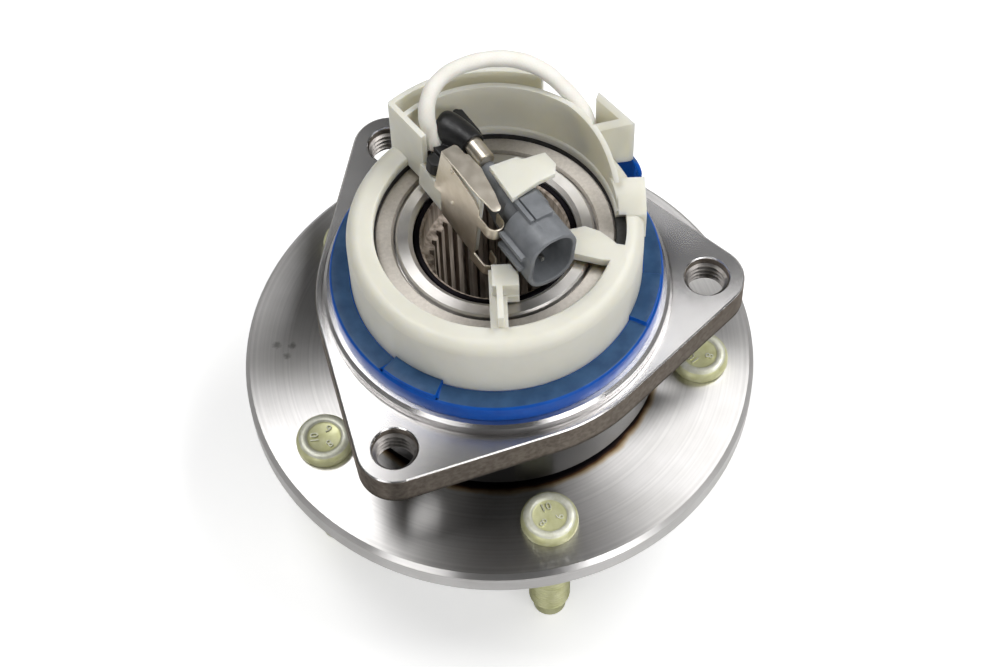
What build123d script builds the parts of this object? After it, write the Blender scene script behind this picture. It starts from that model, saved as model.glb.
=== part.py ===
from build123d import *
from math import cos, pi, radians, sin, sqrt, tan
import os

# Driven-wheel hub unit with a double-row ball bearing and a built-in wheel-speed sensor.
# Millimetres. +Z runs along the bearing axis, inboard. z = 0 is the face the wheel bolts to.

# ---- wheel side -------------------------------------------------------------
flange_r = 73.0
flange_t = 8.0
stud_circle_r = 57.5
stud_count = 5
stud_start_deg = -78.4
stud_r = 6.0
stud_tip_z = -42.0
pilot_r = 35.3
pilot_h = 9.0

# ---- bearing ----------------------------------------------------------------
ball_r = 6.35
ball_pitch_r = 33.5
ball_count = 14
groove_r = 6.6
outboard_row_z = 23.0
inboard_row_z = 41.0
high_land_r = 31.2
low_land_r = 27.6
outer_land_r = 36.0
spindle_r = 22.0
spindle_shoulder_z = 34.0
spindle_end_z = 65.0
race_end_z = 66.3
race_nose_r = 26.5
tone_seat_r = 28.6

# ---- splined bore -----------------------------------------------------------
spline_count = 33
spline_crest_r = 16.8
spline_root_r = 18.0
spline_bottom_z = 9.0
spline_top_z = 57.0
axle_pilot_r = 19.6

# ---- outer ring and its mounting flange --------------------------------------
mount_face_z = 41.2
mount_flange_t = 9.7
mount_circle_r = 57.85
mount_hole_r = 6.0
corner_r = 10.4
hull_r = 50.0
barrel_r = 46.0
outer_bottom_z = 11.5
knuckle_pilot_r = 47.5
knuckle_pilot_z = 45.0
nose_r = 44.0
nose_z = 49.6

# ---- sensor end --------------------------------------------------------------
carrier_r = 39.6
carrier_wall = 2.2
carrier_top_z = 70.2
carrier_open_r = 32.2
carrier_roof_z = 67.4
channel_top_z = 87.0
pocket_low_z = 65.2
tone_teeth = 47

# ---- connector group: a frame of its own, nose pointing down to the right --------
plug_origin = Vector(14.4, -18.6, 79.0)
plug_turn_deg = -59.0
plug_roll_deg = 7.0
plug_u = Vector(cos(radians(plug_turn_deg)), sin(radians(plug_turn_deg)), 0)
plug_side = Vector(-plug_u.Y, plug_u.X, 0)
plug_w = Vector(0, 0, 1) * cos(radians(plug_roll_deg)) + plug_side * sin(radians(plug_roll_deg))
plug_v = plug_w.cross(plug_u)

shroud_w = 14.2
shroud_h = 18.6
shroud_depth = 12.0
finger_v = -9.9
finger_t = 1.5

os.makedirs("parts", exist_ok=True)


def closed_profile(*points):
    """Half section in the XZ plane, ready to be turned about Z."""
    with BuildSketch(Plane.XZ) as section:
        with BuildLine():
            Polyline(*points, close=True)
        make_face()
    return section.sketch


def plug_plane(u=0.0, v=0.0, w=0.0):
    """Plane of the connector group: local X along its nose, local Z up."""
    origin = plug_origin + plug_u * u + plug_v * v + plug_w * w
    return Plane(origin=origin, x_dir=plug_u, z_dir=plug_w)


def plug_section(u, v=0.0, w=0.0):
    """Plane across the connector group, looking out of its mouth: local X is v, local Y is w."""
    origin = plug_origin + plug_u * u + plug_v * v + plug_w * w
    return Plane(origin=origin, x_dir=plug_v, z_dir=plug_u)


def plug_side_plane(v):
    """Upright plane along the connector group: local X along its nose, local Y is w."""
    return Plane(origin=plug_origin + plug_v * v, x_dir=plug_u, z_dir=-plug_v)


def groove_z(row_z, radius, side):
    """Height at which a raceway groove meets a land of the given radius."""
    return row_z + side * sqrt(groove_r**2 - (radius - ball_pitch_r) ** 2)


def sector(radius_in, radius_out, start_deg, end_deg):
    """Flat ring sector between two azimuths."""
    mid = (start_deg + end_deg) / 2

    def at(radius, deg):
        return (radius * cos(radians(deg)), radius * sin(radians(deg)))

    with BuildSketch() as shape:
        with BuildLine():
            ThreePointArc(at(radius_out, start_deg), at(radius_out, mid), at(radius_out, end_deg))
            Line(at(radius_out, end_deg), at(radius_in, end_deg))
            ThreePointArc(at(radius_in, end_deg), at(radius_in, mid), at(radius_in, start_deg))
            Line(at(radius_in, start_deg), at(radius_out, start_deg))
        make_face()
    return shape.sketch


def polar_point(radius, deg, z=0.0):
    return Vector(radius * cos(radians(deg)), radius * sin(radians(deg)), z)


def write(part, label):
    part.label = label
    export_step(part, f"parts/{label}.step")


# =============================================================================
# Rotating hub
# =============================================================================

# Forged hub: wheel flange, wheel pilot, outboard raceway and hollow splined spindle in one.
rim_chamfer = 1.3
nut_recess_r = 26.0
nut_seat_z = 4.0
plain_bore_r = 18.6
with BuildPart() as hub_flange:
    with BuildSketch(Plane.XZ):
        with BuildLine():
            hub_top = groove_z(outboard_row_z, high_land_r, -1)
            hub_low = groove_z(outboard_row_z, low_land_r, 1)
            Polyline(
                (plain_bore_r, nut_seat_z),
                (nut_recess_r, nut_seat_z),
                (nut_recess_r, -12.0),
                (nut_recess_r + 1.0, -13.0),
                (pilot_r - 4.3, -13.0),
                (pilot_r - 3.3, -12.0),
                (pilot_r - 3.3, -pilot_h),
                (pilot_r - 0.8, -pilot_h),
                (pilot_r, -pilot_h + 0.8),
                (pilot_r, 0),
                (flange_r - 0.8, 0),
                (flange_r, 0.8),
                (flange_r, flange_t - rim_chamfer),
                (flange_r - rim_chamfer, flange_t),
                (high_land_r + 5.0, flange_t),
            )
            hub_neck = RadiusArc((high_land_r + 5.0, flange_t), (high_land_r, flange_t + 5.0), 5.0)
            Line(hub_neck @ 1, (high_land_r, hub_top))
            ThreePointArc(
                (high_land_r, hub_top),
                (ball_pitch_r - groove_r, outboard_row_z),
                (low_land_r, hub_low),
            )
            Polyline(
                (low_land_r, hub_low),
                (low_land_r, spindle_shoulder_z),
                (spindle_r, spindle_shoulder_z),
                (spindle_r, spindle_end_z - 0.7),
                (spindle_r - 0.7, spindle_end_z),
                (axle_pilot_r + 0.8, spindle_end_z),
                (axle_pilot_r, spindle_end_z - 0.8),
                (axle_pilot_r, spline_top_z),
                (spline_crest_r, spline_top_z - 1.2),
                (spline_crest_r, spline_bottom_z),
                (plain_bore_r, spline_bottom_z - 1.0),
                (plain_bore_r, nut_seat_z),
            )
        make_face()
    revolve(axis=Axis.Z)
    # involute-like tooth spaces of the axle spline
    space = 360 / spline_count
    with BuildSketch(Plane.XY.offset(spline_bottom_z - 1.5)):
        with PolarLocations(0, spline_count):
            Polygon(
                (spline_crest_r - 1.0, -1.15),
                (spline_root_r, -0.55),
                (spline_root_r, 0.55),
                (spline_crest_r - 1.0, 1.15),
                align=None,
            )
    extrude(amount=spline_top_z - spline_bottom_z + 1.5, mode=Mode.SUBTRACT)
    # press-fit stud holes
    with Locations(Plane.XY.offset(flange_t)):
        with PolarLocations(stud_circle_r, stud_count, start_angle=stud_start_deg):
            Hole(radius=6.35, depth=flange_t)
write(hub_flange.part, "hub_flange")

# Serrated wheel studs, pressed in from the inboard face; all five are alike. The M12 x 1.5
# thread is cut as rings, not as a helix.
head_t = 4.0
thread_pitch = 1.5
thread_root_r = 5.05
thread_turns = 22
thread_start_z = -3.1
thread_rings = []
for turn in range(thread_turns):
    root_z = thread_start_z - turn * thread_pitch
    thread_rings.append((thread_root_r, root_z))
    thread_rings.append((stud_r - 0.05, root_z - thread_pitch / 2))
with BuildPart() as wheel_studs:
    with BuildSketch(Plane.XZ) as stud_section:
        with BuildLine():
            Polyline(
                (0, flange_t + head_t - 0.6),
                (4.6, flange_t + head_t - 0.6),
                (5.2, flange_t + head_t),
                (6.6, flange_t + head_t),
                (8.0, flange_t + head_t - 1.6),
                (8.0, flange_t + 0.4),
                (7.6, flange_t),
                (6.35, flange_t),
                (6.35, 0.4),
                (stud_r - 0.05, 0),
                (stud_r - 0.05, thread_start_z + 0.6),
                *thread_rings,
                (4.75, stud_tip_z + 4.3),
                (4.75, stud_tip_z + 1.0),
                (3.9, stud_tip_z),
                (0, stud_tip_z),
                close=True,
            )
        make_face()
    one_stud = revolve(stud_section.sketch, axis=Axis.Z, mode=Mode.PRIVATE)
    with PolarLocations(stud_circle_r, stud_count, start_angle=stud_start_deg):
        add(one_stud)
write(wheel_studs.part, "wheel_studs")

# Inner race of the inboard row, pressed on the spindle; its long nose carries the tone ring.
with BuildPart() as inner_race:
    with BuildSketch(Plane.XZ):
        with BuildLine():
            race_low = groove_z(inboard_row_z, low_land_r, -1)
            race_high = groove_z(inboard_row_z, high_land_r, 1)
            Polyline((spindle_r, spindle_shoulder_z), (low_land_r, spindle_shoulder_z), (low_land_r, race_low))
            ThreePointArc(
                (low_land_r, race_low),
                (ball_pitch_r - groove_r, inboard_row_z),
                (high_land_r, race_high),
            )
            Polyline(
                (high_land_r, race_high),
                (high_land_r, 49.5),
                (high_land_r - 0.5, 50.0),
                (tone_seat_r, 50.0),
                (tone_seat_r, 63.2),
                (race_nose_r, 63.2),
                (race_nose_r, race_end_z - 0.5),
                (race_nose_r - 0.5, race_end_z),
                (spindle_r + 1.2, race_end_z),
                (spindle_r, race_end_z - 1.0),
                (spindle_r, spindle_shoulder_z),
            )
        make_face()
    revolve(axis=Axis.Z)
write(inner_race.part, "inner_race")

# Toothed tone ring, sintered and pressed on the inner race under the sensor.
tone_bottom_z = 55.5
tone_h = 6.5
tone_outer_r = 31.2
with BuildPart() as tone_ring:
    with BuildSketch(Plane.XY.offset(tone_bottom_z)):
        Circle(tone_outer_r)
        Circle(tone_seat_r, mode=Mode.SUBTRACT)
        with PolarLocations(tone_outer_r, tone_teeth):
            Rectangle(2.2, 1.9, mode=Mode.SUBTRACT)
    extrude(amount=tone_h)
write(tone_ring.part, "tone_ring")

# Stainless flinger on the hub neck, in front of the outboard seal.
with BuildPart() as outboard_slinger:
    revolve(
        closed_profile(
            (high_land_r, 13.2), (high_land_r, 16.0), (high_land_r + 0.6, 16.0),
            (high_land_r + 0.6, 13.8), (34.0, 10.9), (43.6, 10.9), (43.6, 10.3), (33.7, 10.3),
        ),
        axis=Axis.Z,
    )
write(outboard_slinger.part, "outboard_slinger")

# =============================================================================
# Ball rows and cages
# =============================================================================


def ball_row(row_z):
    """One row of equal balls on the pitch circle."""
    with BuildPart() as row:
        with Locations(Plane.XY.offset(row_z)):
            with PolarLocations(ball_pitch_r, ball_count):
                Sphere(ball_r)
    return row.part


def crown_cage(row_z, side):
    """Snap-in crown cage: a ring behind the balls with prongs reaching between them."""
    cage_in_r = 32.7
    cage_out_r = 36.2
    prong_end = row_z - side * 3.0
    ring_end = row_z + side * 7.7
    with BuildPart() as cage:
        revolve(
            closed_profile(
                (cage_in_r, prong_end), (cage_out_r, prong_end),
                (cage_out_r, ring_end), (cage_in_r, ring_end),
            ),
            axis=Axis.Z,
        )
        with Locations(Plane.XY.offset(row_z)):
            with PolarLocations(ball_pitch_r, ball_count):
                Sphere(ball_r + 0.2, mode=Mode.SUBTRACT)
    return cage.part


write(ball_row(outboard_row_z), "outboard_balls")
write(ball_row(inboard_row_z), "inboard_balls")
write(crown_cage(outboard_row_z, -1), "outboard_cage")
write(crown_cage(inboard_row_z, 1), "inboard_cage")

# =============================================================================
# Stationary outer ring and seals
# =============================================================================

bearing_bore_r = ball_pitch_r + groove_r
with BuildPart() as outer_ring:
    # forged body with both outer raceways and the knuckle pilot
    with BuildSketch(Plane.XZ):
        with BuildLine():
            out_low = groove_z(outboard_row_z, outer_land_r, 1)
            in_low = groove_z(inboard_row_z, outer_land_r, -1)
            Polyline(
                (bearing_bore_r, outboard_row_z),
                (bearing_bore_r, outer_bottom_z + 0.8),
                (bearing_bore_r + 0.8, outer_bottom_z),
                (barrel_r - 1.2, outer_bottom_z),
                (barrel_r, outer_bottom_z + 1.2),
                (barrel_r, mount_face_z - 2.0),
                (knuckle_pilot_r, mount_face_z - 1.0),
                (knuckle_pilot_r, knuckle_pilot_z - 0.9),
                (knuckle_pilot_r - 0.9, knuckle_pilot_z),
                (nose_r, knuckle_pilot_z),
                (nose_r, nose_z - 0.6),
                (nose_r - 0.6, nose_z),
                (bearing_bore_r, nose_z),
                (bearing_bore_r, inboard_row_z),
            )
            ThreePointArc(
                (bearing_bore_r, inboard_row_z),
                (ball_pitch_r + groove_r * cos(radians(35)), inboard_row_z - groove_r * sin(radians(35))),
                (outer_land_r, in_low),
            )
            Line((outer_land_r, in_low), (outer_land_r, out_low))
            ThreePointArc(
                (outer_land_r, out_low),
                (ball_pitch_r + groove_r * cos(radians(35)), outboard_row_z + groove_r * sin(radians(35))),
                (bearing_bore_r, outboard_row_z),
            )
        make_face()
    revolve(axis=Axis.Z)
    # three-lobed mounting flange: the hull of the lobes and a round centre
    with BuildSketch(Plane.XY.offset(mount_face_z - mount_flange_t)) as flange_outline:
        Circle(hull_r)
        with PolarLocations(mount_circle_r, 3):
            Circle(corner_r)
        make_hull()
        Circle(barrel_r - 1.0, mode=Mode.SUBTRACT)
    extrude(amount=mount_flange_t)
    top_rim = outer_ring.edges().filter_by_position(Axis.Z, mount_face_z - 0.01, mount_face_z + 0.01)
    chamfer(top_rim.sort_by(SortBy.LENGTH)[-9:], 0.5)
    # grinding relief at the foot of the pilot
    relief = closed_profile(
        (knuckle_pilot_r, mount_face_z), (knuckle_pilot_r - 0.3, mount_face_z - 0.6),
        (knuckle_pilot_r + 0.8, mount_face_z - 0.6), (knuckle_pilot_r + 1.1, mount_face_z + 1),
        (knuckle_pilot_r, mount_face_z + 1),
    )
    revolve(relief, axis=Axis.Z, mode=Mode.SUBTRACT)
    # tapped holes with their lead-in chamfers
    with Locations(Plane.XY.offset(mount_face_z)):
        with PolarLocations(mount_circle_r, 3):
            CounterSinkHole(radius=mount_hole_r, counter_sink_radius=6.5, depth=mount_flange_t)
write(outer_ring.part, "outer_ring")

# Outboard seal: pressed steel case with a moulded rubber lip.
with BuildPart() as outboard_seal_case:
    revolve(
        closed_profile(
            (bearing_bore_r, 12.2), (bearing_bore_r, 14.9), (35.0, 14.9), (35.0, 14.3),
            (bearing_bore_r - 0.7, 14.3), (bearing_bore_r - 0.7, 12.2),
        ),
        axis=Axis.Z,
    )
write(outboard_seal_case.part, "outboard_seal_case")

with BuildPart() as outboard_seal_lip:
    revolve(
        closed_profile(
            (bearing_bore_r - 0.7, 12.4), (bearing_bore_r - 0.7, 14.3), (35.0, 14.3), (35.0, 14.9),
            (33.2, 14.9), (31.9, 15.8), (31.9, 15.2), (32.6, 14.0), (36.0, 13.5), (37.6, 11.3),
            (38.1, 11.5), (37.4, 13.4),
        ),
        axis=Axis.Z,
    )
write(outboard_seal_lip.part, "outboard_seal_lip")

# Inboard seal, pressed in the sensor carrier and running on the inner race.
seal_case_r = carrier_r - carrier_wall
with BuildPart() as inboard_seal_case:
    revolve(
        closed_profile(
            (seal_case_r, 50.4), (seal_case_r, 54.0), (32.0, 54.0), (32.0, 53.4),
            (seal_case_r - 0.7, 53.4), (seal_case_r - 0.7, 50.4),
        ),
        axis=Axis.Z,
    )
write(inboard_seal_case.part, "inboard_seal_case")

with BuildPart() as inboard_seal_lip:
    revolve(
        closed_profile(
            (seal_case_r - 0.7, 51.0), (seal_case_r - 0.7, 53.4), (32.0, 53.4), (32.0, 54.0),
            (30.2, 54.0), (tone_seat_r + 0.08, 51.8), (tone_seat_r + 0.08, 51.2), (30.9, 52.4),
            (36.0, 52.4),
        ),
        axis=Axis.Z,
    )
write(inboard_seal_lip.part, "inboard_seal_lip")

# =============================================================================
# Sensor end
# =============================================================================

# Blue moulded ring snapped over the nose of the outer ring; its raised tabs key the carrier.
ring_out_r = 45.4
ring_top_z = 50.9
tab_azimuths = (236.4, 341.9, 98.0)
tab_half_deg = 10.5
tab_in_r = 38.5
tab_top_z = 52.2
stay_t = 1.2
stay_start_deg = 26.0
stay_end_deg = 42.0
with BuildPart() as locating_ring:
    revolve(
        closed_profile(
            (nose_r, knuckle_pilot_z), (ring_out_r, knuckle_pilot_z),
            (ring_out_r, ring_top_z - 0.5), (ring_out_r - 0.5, ring_top_z),
            (carrier_r + 0.1, ring_top_z), (carrier_r + 0.1, nose_z),
            (nose_r - 0.6, nose_z), (nose_r, nose_z - 0.6),
        ),
        axis=Axis.Z,
    )
    for azimuth in tab_azimuths:
        with BuildSketch(Plane.XY.offset(ring_top_z - 0.6)):
            add(sector(tab_in_r, ring_out_r - 0.6, azimuth - tab_half_deg, azimuth + tab_half_deg))
        extrude(amount=tab_top_z - ring_top_z + 0.6)
    # thin stay that rises from the rim beside the lead pocket, its low corner rounded
    with BuildSketch(Plane.XY.offset(ring_top_z - 1.0)):
        add(sector(ring_out_r - stay_t, ring_out_r, stay_start_deg, stay_end_deg))
    extrude(amount=18.0)
    with BuildSketch(Plane.YZ.offset(30.0)):
        with BuildLine():
            corner = ThreePointArc((19.8, 61.6), (20.6, 64.5), (23.4, 65.8))
            Polyline(corner @ 1, (31.0, 66.2), (31.0, 70.0), (18.0, 70.0), (18.0, 61.6), corner @ 0)
        make_face()
    extrude(amount=20, mode=Mode.SUBTRACT)
write(locating_ring.part, "locating_ring")

# Route of the sleeved lead as (radius, azimuth, z): up out of the cap's roof at the right,
# round above the channel, over the inner wall and down to the boot.
lead_r = 2.2
lead_route = (
    (36.6, 43.5, 67.45), (36.6, 43.5, 75.5), (36.6, 45.0, 81.0), (36.6, 50.0, 84.8),
    (36.6, 57.0, 88.0), (36.7, 64.5, 91.5), (36.7, 73.5, 93.9), (36.2, 84.5, 95.1), (35.2, 97.5, 95.2),
    (34.1, 109.5, 94.2), (32.0, 119.0, 92.2), (29.2, 125.2, 89.0), (26.9, 127.4, 84.4),
    (24.68, 126.3, 79.05),
)

# Moulded nylon sensor carrier: a deep cap over the race end, with a lead channel at the
# back, a pocket where the lead enters, and a cradle that holds the plugged-up connector.
round_r = 3.7
rim_round_r = 0.6
wall_in_r = 32.8
wall_t = 1.4
with BuildSketch() as pocket_walls:
    with BuildLine():
        Polyline((27.4, 22.2), (36.3, 23.2), (28.6, 27.9))
    trace(line_width=wall_t)
with BuildPart() as sensor_carrier:
    revolve(
        closed_profile(
            (seal_case_r + 0.4, 47.4), (bearing_bore_r, 47.4), (bearing_bore_r, nose_z),
            (carrier_r, nose_z), (carrier_r, carrier_top_z), (carrier_open_r, carrier_top_z),
            (carrier_open_r, carrier_roof_z), (seal_case_r, carrier_roof_z),
            (seal_case_r, nose_z), (seal_case_r + 0.4, nose_z - 0.4),
        ),
        axis=Axis.Z,
    )
    outer_top = sensor_carrier.edges().filter_by(GeomType.CIRCLE).filter_by_position(
        Axis.Z, carrier_top_z - 0.01, carrier_top_z + 0.01
    )
    fillet(outer_top.sort_by(SortBy.RADIUS)[-1], round_r)
    fillet(outer_top.sort_by(SortBy.RADIUS)[0], rim_round_r)
    # the carrier's foot is notched where the ring's three tabs key it
    for azimuth in tab_azimuths:
        with BuildSketch(Plane.XY.offset(ring_top_z - 0.7)):
            add(sector(tab_in_r - 0.1, carrier_r + 1, azimuth - tab_half_deg - 0.3, azimuth + tab_half_deg + 0.3))
        extrude(amount=tab_top_z - ring_top_z + 0.8, mode=Mode.SUBTRACT)
    # lead channel: an inner wall and a shorter outer wall
    with BuildSketch(Plane.XY.offset(carrier_roof_z)):
        add(sector(wall_in_r, wall_in_r + wall_t, 5.0, 132.0))
    extrude(amount=channel_top_z - carrier_roof_z)
    with BuildSketch(Plane.YZ):
        with BuildLine():
            slope = ThreePointArc((3.2, carrier_top_z), (11.2, 79.5), (25.5, channel_top_z))
            Polyline(slope @ 1, (25.5, channel_top_z + 1), (0, channel_top_z + 1), (0, carrier_top_z), slope @ 0)
        make_face()
    extrude(amount=60, mode=Mode.SUBTRACT)
    with BuildSketch(Plane.XY.offset(carrier_top_z - round_r - 1.0)):
        add(sector(carrier_r - wall_t, carrier_r, 68.0, 132.5))
    extrude(amount=channel_top_z - carrier_top_z + round_r + 1.0)
    # closing wall at the left end of the channel, running inwards
    with BuildSketch(Plane.XY.offset(carrier_roof_z)):
        with BuildLine():
            Polyline((-26.9, 28.7), (-25.8, 29.7), (-17.0, 17.7), (-18.3, 16.9), close=True)
        make_face()
    extrude(amount=channel_top_z - carrier_roof_z)
    # lead pocket on the right: a front wall and a free-standing fin that meet at one corner
    with BuildSketch(Plane.XY.offset(pocket_low_z)):
        with BuildLine():
            Polyline((26.2, 21.4), (37.0, 22.5), (37.1, 23.8), (28.4, 29.0), (24.8, 31.0), close=True)
        make_face()
        Circle(carrier_r - wall_t, mode=Mode.SUBTRACT)
    extrude(amount=2.0)
    with BuildSketch(Plane.XY.offset(pocket_low_z)):
        add(pocket_walls.sketch)
        Circle(seal_case_r, mode=Mode.SUBTRACT)
    extrude(amount=carrier_roof_z - pocket_low_z)
    with BuildSketch(Plane.XY.offset(carrier_roof_z)):
        add(pocket_walls.sketch)
    extrude(amount=24.0)
    with BuildSketch(Plane.YZ.offset(26.9)):
        with BuildLine():
            Polyline((20.0, 78.2), (30.0, 90.1), (30.0, 95.0), (20.0, 95.0), close=True)
        make_face()
    extrude(amount=20, mode=Mode.SUBTRACT)
    # hump at the low end of the channel, across the rim
    with BuildSketch(Plane.XY.offset(carrier_roof_z)):
        with Locations((36.6, 5.7)):
            Rectangle(7.4, 9.4)
        Circle(wall_in_r, mode=Mode.SUBTRACT)
    extrude(amount=7.4)
    with BuildSketch(Plane.XY.offset(60.0)):
        with Locations((36.6, 5.7)):
            Rectangle(7.4, 9.4)
        Circle(carrier_r - 1.0, mode=Mode.SUBTRACT)
    extrude(amount=8.0)
    with BuildSketch(Plane.YZ):
        with BuildLine():
            crest = ThreePointArc((0.6, 69.8), (4.6, 73.0), (9.2, 74.3))
            Polyline(crest @ 1, (10.6, 74.3), (10.6, 76), (0.6, 76), crest @ 0)
        make_face()
    extrude(amount=60, mode=Mode.SUBTRACT)
    # slot in the rim's inner edge, in front of the hump
    with BuildSketch(Plane.XY.offset(carrier_roof_z)):
        add(sector(carrier_open_r - 1, 34.9, -14.0, 4.5))
    extrude(amount=3.0, mode=Mode.SUBTRACT)
    # hole in the roof where the lead goes down to the coil
    with BuildSketch(Plane.XY.offset(carrier_roof_z)):
        with Locations(polar_point(*lead_route[0])):
            Circle(lead_r + 0.05)
    extrude(amount=8.0, mode=Mode.SUBTRACT)
    # arms of the cradle
    with BuildSketch(Plane.XY.offset(carrier_roof_z)):
        with BuildLine():
            Polyline(
                (34.0, -13.2), (27.5, -12.7), (20.4, -10.4), (12.0, -8.6), (7.0, 0.6), (12.0, 2.4),
                (19.2, -2.8), (23.7, -1.8), (27.5, -3.6), (31.0, -7.0), (33.4, -10.0), close=True,
            )
        make_face()
        with Locations((0, -23.5)):
            Rectangle(4.6, 18.0)
        with Locations((2.0, -19.0)):
            Rectangle(7.0, 8.0)
    extrude(amount=2.8)
    with BuildSketch(Plane.XY.offset(carrier_roof_z)):
        with Locations((0.4, -25.5)):
            Rectangle(1.6, 14.0)
        with Locations((2.0, -19.3)):
            Rectangle(7.0, 6.6)
    extrude(amount=7.4)
    # post and T-shaped hold-down over the connector neck
    with BuildSketch(plug_plane(w=-11.0)):
        with Locations((-20.5, 5.0)):
            Rectangle(6.0, 1.6)
    extrude(amount=21.5)
    with BuildSketch(plug_plane(w=10.2)):
        with BuildLine():
            Polyline(
                (-26.8, -3.1), (-26.0, 4.9), (-24.7, 5.6), (-23.6, 12.1), (-19.0, 12.4),
                (-16.4, 10.4), (-16.4, 5.5), (-14.8, -3.8), close=True,
            )
        make_face()
    extrude(amount=1.6)
    # upright finger that the clip's side plate grips, from the closing wall inwards
    with BuildSketch(plug_side_plane(finger_v)):
        with BuildLine():
            Polyline(
                (-47.6, -12.4), (-20.5, -12.4), (-20.5, 9.0), (-37.0, 9.0), (-40.5, -4.6), (-47.6, -4.6),
                close=True,
            )
        make_face()
    extrude(amount=-finger_t)
    # room for the connector's shroud and neck
    with BuildSketch(plug_section(-17.7)):
        RectangleRounded(shroud_w + 0.8, shroud_h + 0.8, 5.2)
    extrude(amount=20, mode=Mode.SUBTRACT)
    with BuildSketch(plug_section(-34.5)):
        RectangleRounded(7.8, shroud_h + 0.4, 3.0)
    extrude(amount=17, mode=Mode.SUBTRACT)
write(sensor_carrier.part, "sensor_carrier")

# Toothed soft-iron pole ring, level with the tone ring and half a millimetre outside it.
pole_out_r = 33.4
with BuildPart() as pole_ring:
    with BuildSketch(Plane.XY.offset(tone_bottom_z)):
        Circle(pole_out_r)
        Circle(tone_outer_r + 0.5, mode=Mode.SUBTRACT)
        with PolarLocations(tone_outer_r + 0.5, tone_teeth):
            Rectangle(1.4, 1.9, mode=Mode.SUBTRACT)
    extrude(amount=tone_h)
write(pole_ring.part, "pole_ring")

# Coil former around the pole ring, open outwards, with its winding.
with BuildPart() as coil_former:
    revolve(
        closed_profile(
            (pole_out_r, 54.0), (seal_case_r, 54.0), (seal_case_r, 55.0), (pole_out_r + 0.8, 55.0),
            (pole_out_r + 0.8, 63.0), (seal_case_r, 63.0), (seal_case_r, 64.0), (pole_out_r, 64.0),
        ),
        axis=Axis.Z,
    )
write(coil_former.part, "coil_former")

with BuildPart() as sensor_coil:
    revolve(
        closed_profile(
            (pole_out_r + 0.8, 55.0), (seal_case_r - 0.3, 55.0),
            (seal_case_r - 0.3, 63.0), (pole_out_r + 0.8, 63.0),
        ),
        axis=Axis.Z,
    )
write(sensor_coil.part, "sensor_coil")

# Steel end cover between the carrier and the nose of the race, on its rubber ring.
cover_out_r = 32.0
with BuildPart() as end_cover:
    revolve(
        closed_profile(
            (27.5, 64.7), (27.9, 65.3), (31.2, 65.3), (31.2, 62.6), (cover_out_r, 62.6),
            (cover_out_r, 65.6), (cover_out_r - 0.4, 66.0), (27.7, 66.0), (27.1, 65.1),
        ),
        axis=Axis.Z,
    )
write(end_cover.part, "end_cover")

with BuildPart() as cover_gasket:
    revolve(
        closed_profile(
            (cover_out_r, 62.6), (pole_out_r, 62.6), (pole_out_r, 64.0), (35.4, 64.0),
            (35.4, carrier_roof_z), (carrier_open_r + 0.1, carrier_roof_z),
            (carrier_open_r + 0.1, 66.4), (cover_out_r, 65.6),
        ),
        axis=Axis.Z,
    )
write(cover_gasket.part, "cover_gasket")

# ---- connector group -----------------------------------------------------------

# Moulded two-way connector body lying on its narrow side, its oval shroud open at the nose.
neck_end_u = -33.1
with BuildPart() as connector_body:
    with BuildSketch(plug_section(-12.8)):
        RectangleRounded(shroud_w, shroud_h, 6.4)
    extrude(amount=12.8)
    with BuildSketch(plug_section(-17.4, v=1.4)):
        RectangleRounded(11.2, shroud_h, 5.0)
    extrude(amount=4.6)
    with BuildSketch(plug_section(-17.4)):
        RectangleRounded(7.0, 17.6, 3.0)
    with BuildSketch(plug_section(neck_end_u, v=1.0, w=-1.6)):
        RectangleRounded(4.2, 12.6, 2.0)
    loft()
    # latch ramp and its flanks on top
    with BuildSketch(plug_section(-15.0, v=1.0, w=shroud_h / 2)):
        Rectangle(5.2, 2.4)
    extrude(amount=8.0)
    with BuildSketch(plug_section(-15.2, v=-2.6, w=shroud_h / 2)):
        Rectangle(1.2, 1.8)
    extrude(amount=8.0)
    # two guide rails on the side that faces the clip
    for rail_w in (2.6, -1.4):
        with BuildSketch(plug_section(-12.8, v=-shroud_w / 2 - 0.2, w=rail_w)):
            Rectangle(2.4, 1.3)
        extrude(amount=10.2)
    # oval socket
    with BuildSketch(plug_section(-shroud_depth)):
        RectangleRounded(shroud_w - 2.6, shroud_h - 2.6, 5.2)
    extrude(amount=shroud_depth + 1, mode=Mode.SUBTRACT)
    mouth = connector_body.faces().sort_by(Axis(tuple(plug_origin), tuple(plug_u)))[-1]
    fillet(mouth.edges(), 0.4)
write(connector_body.part, "connector_body")

# Two blade terminals standing in the socket.
with BuildPart() as terminals:
    for blade_w in (-3.6, 3.6):
        with BuildSketch(plug_section(-shroud_depth, w=blade_w)):
            Rectangle(0.8, 1.6)
        extrude(amount=8.0)
write(terminals.part, "terminals")

# Plated crimp sleeve between the boot and the connector.
sleeve_r = 2.5
sleeve_start_u = -41.0
sleeve_v = 1.0
sleeve_w = 4.8
with BuildPart() as crimp_sleeve:
    with BuildSketch(plug_section(sleeve_start_u, v=sleeve_v, w=sleeve_w)):
        Circle(sleeve_r)
    extrude(amount=neck_end_u - sleeve_start_u)
    chamfer(crimp_sleeve.edges().filter_by(GeomType.CIRCLE), 0.35)
write(crimp_sleeve.part, "crimp_sleeve")

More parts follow.
